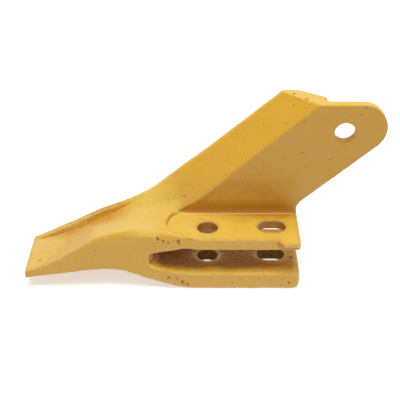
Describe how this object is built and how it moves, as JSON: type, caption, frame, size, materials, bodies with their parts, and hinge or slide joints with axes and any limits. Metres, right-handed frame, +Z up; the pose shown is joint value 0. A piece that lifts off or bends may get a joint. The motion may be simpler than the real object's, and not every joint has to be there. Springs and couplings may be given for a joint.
{
  "type": "side bucket tooth",
  "caption": "Cast side tooth for a loader or excavator bucket: a pick blade, a two-jaw clamp that bolts over the bucket's lip, and a flat ear that bolts to its side plate.",
  "frame": {"origin": "on the underside of the lower jaw, on the line of the lip bolts, midway between them", "axes": "+X from the cutting tip to the rear, along the bucket's side; +Y outwards, from the bucket's mouth to its side plate; +Z up, square to the jaws"},
  "size_m": [0.3563, 0.1021, 0.1698],
  "materials": {
    "yellow_paint": "semi-gloss yellow paint over a rough casting"
  },
  "bodies": {
    "root": {"side_tooth_casting": "yellow_paint"}
  },
  "joints": []
}
